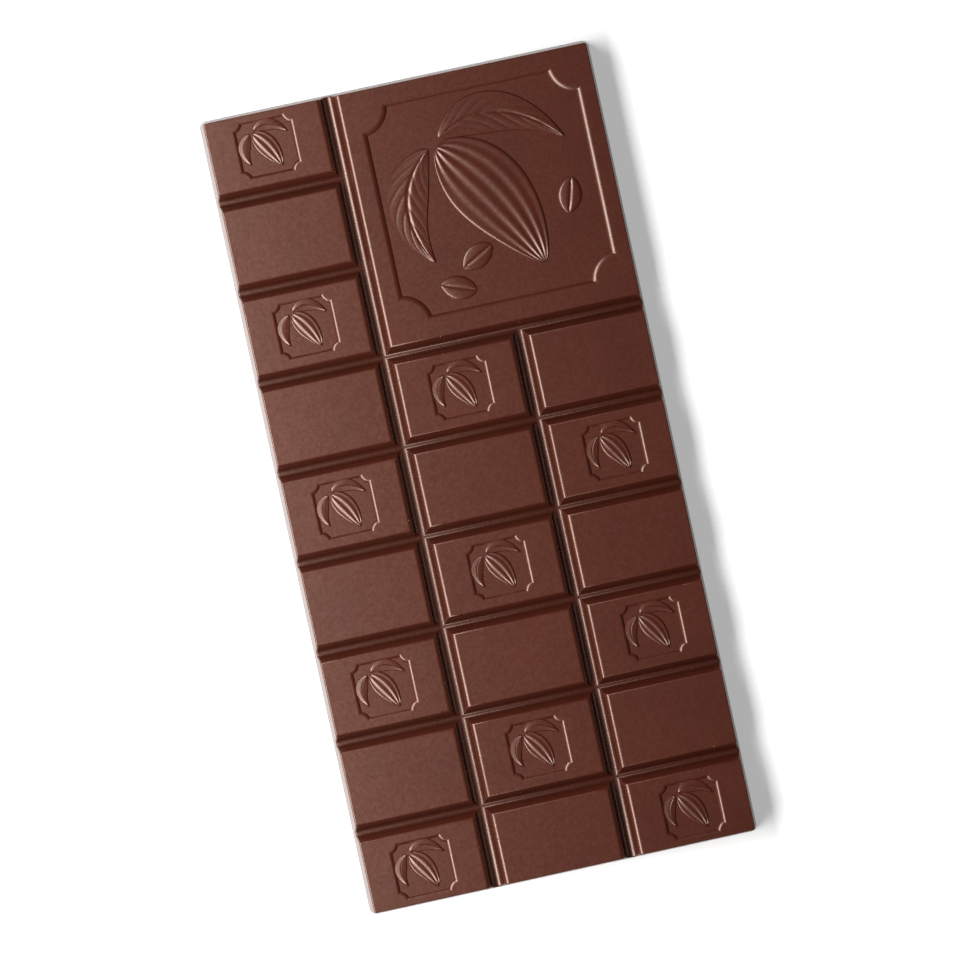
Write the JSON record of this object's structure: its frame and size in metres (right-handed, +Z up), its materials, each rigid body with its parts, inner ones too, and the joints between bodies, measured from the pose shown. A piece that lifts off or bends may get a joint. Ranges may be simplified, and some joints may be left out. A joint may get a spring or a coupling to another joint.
{
  "type": "chocolate bar",
  "caption": "Flat moulded bar of dark chocolate: a grid of grooved tablets, some with a sunk cocoa pod relief, and a large relief panel at a corner.",
  "frame": {"origin": "middle of the flat back of the bar", "axes": "+X across the bar, +Y along it towards the end with the large panel, +Z up out of the moulded face"},
  "size_m": [0.0786, 0.1604, 0.007],
  "materials": {
    "chocolate": null
  },
  "bodies": {
    "root": {"bar": "chocolate"}
  },
  "joints": []
}
